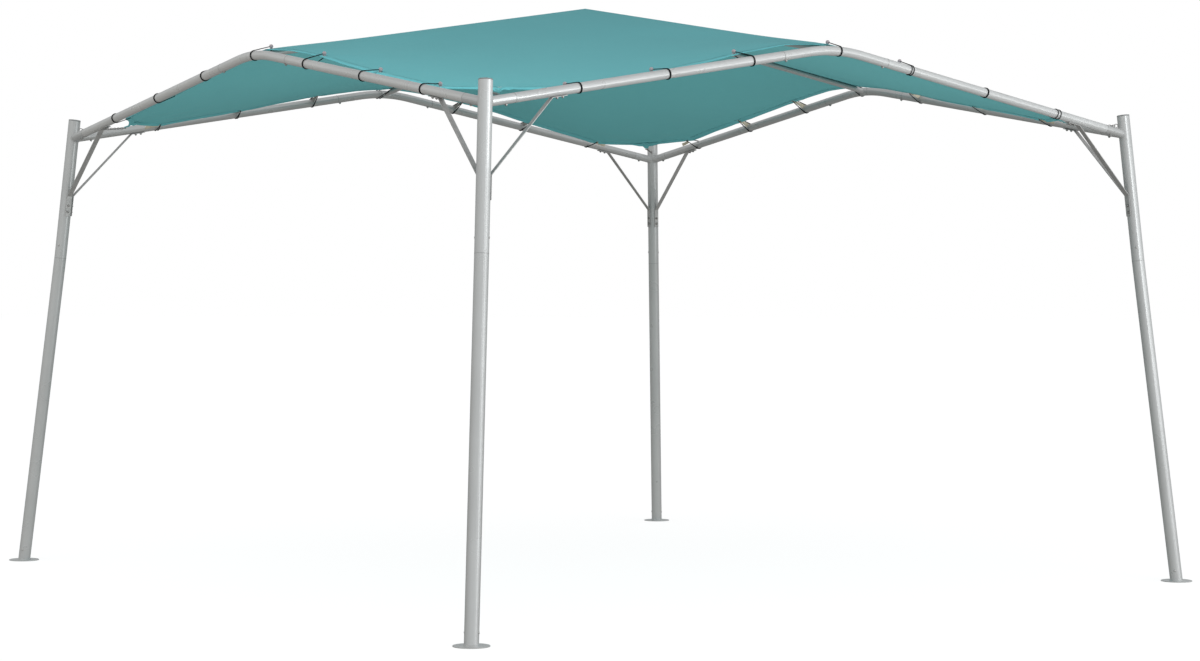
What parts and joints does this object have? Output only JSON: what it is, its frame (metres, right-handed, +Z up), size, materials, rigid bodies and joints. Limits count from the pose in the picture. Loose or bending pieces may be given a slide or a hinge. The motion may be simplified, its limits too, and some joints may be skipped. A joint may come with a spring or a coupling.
{
  "type": "canopy gazebo",
  "caption": "Free-standing square gazebo: leaning round posts, bent side beams, ridge tubes to a hub and a sloping fabric roof sheet held by elastic loops.",
  "frame": {"origin": "on the floor in the middle between the four foot plates", "axes": "+Z up through the centre hub, X and Y along the side beams"},
  "size_m": [4.105, 4.105, 2.6925],
  "materials": {
    "silver_coated_steel": "satin silver grey powder coat",
    "bright_steel": "bright zinc plate",
    "grey_plastic": "satin moulded",
    "teal_fabric": "plain woven polyester, matt"
  },
  "bodies": {
    "root": {"foot_plate_front_right": "silver_coated_steel", "lower_post_front_right": "silver_coated_steel", "upper_post_front_right": "silver_coated_steel", "post_cap_front_right": "grey_plastic", "foot_plate_back_right": "silver_coated_steel", "lower_post_back_right": "silver_coated_steel", "upper_post_back_right": "silver_coated_steel", "post_cap_back_right": "grey_plastic", "foot_plate_back_left": "silver_coated_steel", "lower_post_back_left": "silver_coated_steel", "upper_post_back_left": "silver_coated_steel", "post_cap_back_left": "grey_plastic", "foot_plate_front_left": "silver_coated_steel", "lower_post_front_left": "silver_coated_steel", "upper_post_front_left": "silver_coated_steel", "post_cap_front_left": "grey_plastic", "beam_bend_front": "silver_coated_steel", "side_beam_front_end_1": "silver_coated_steel", "side_beam_front_end_2": "silver_coated_steel", "ridge_tube_front": "silver_coated_steel", "beam_bend_right": "silver_coated_steel", "side_beam_right_end_1": "silver_coated_steel", "side_beam_right_end_2": "silver_coated_steel", "ridge_tube_right": "silver_coated_steel", "beam_bend_back": "silver_coated_steel", "side_beam_back_end_1": "silver_coated_steel", "side_beam_back_end_2": "silver_coated_steel", "ridge_tube_back": "silver_coated_steel", "beam_bend_left": "silver_coated_steel", "side_beam_left_end_1": "silver_coated_steel", "side_beam_left_end_2": "silver_coated_steel", "ridge_tube_left": "silver_coated_steel", "brace_front_right_1": "bright_steel", "brace_front_right_2": "bright_steel", "brace_back_right_1": "bright_steel", "brace_back_right_2": "bright_steel", "brace_back_left_1": "bright_steel", "brace_back_left_2": "bright_steel", "brace_front_left_1": "bright_steel", "brace_front_left_2": "bright_steel", "centre_hub": "silver_coated_steel", "roof_canopy": "teal_fabric"}
  },
  "joints": []
}
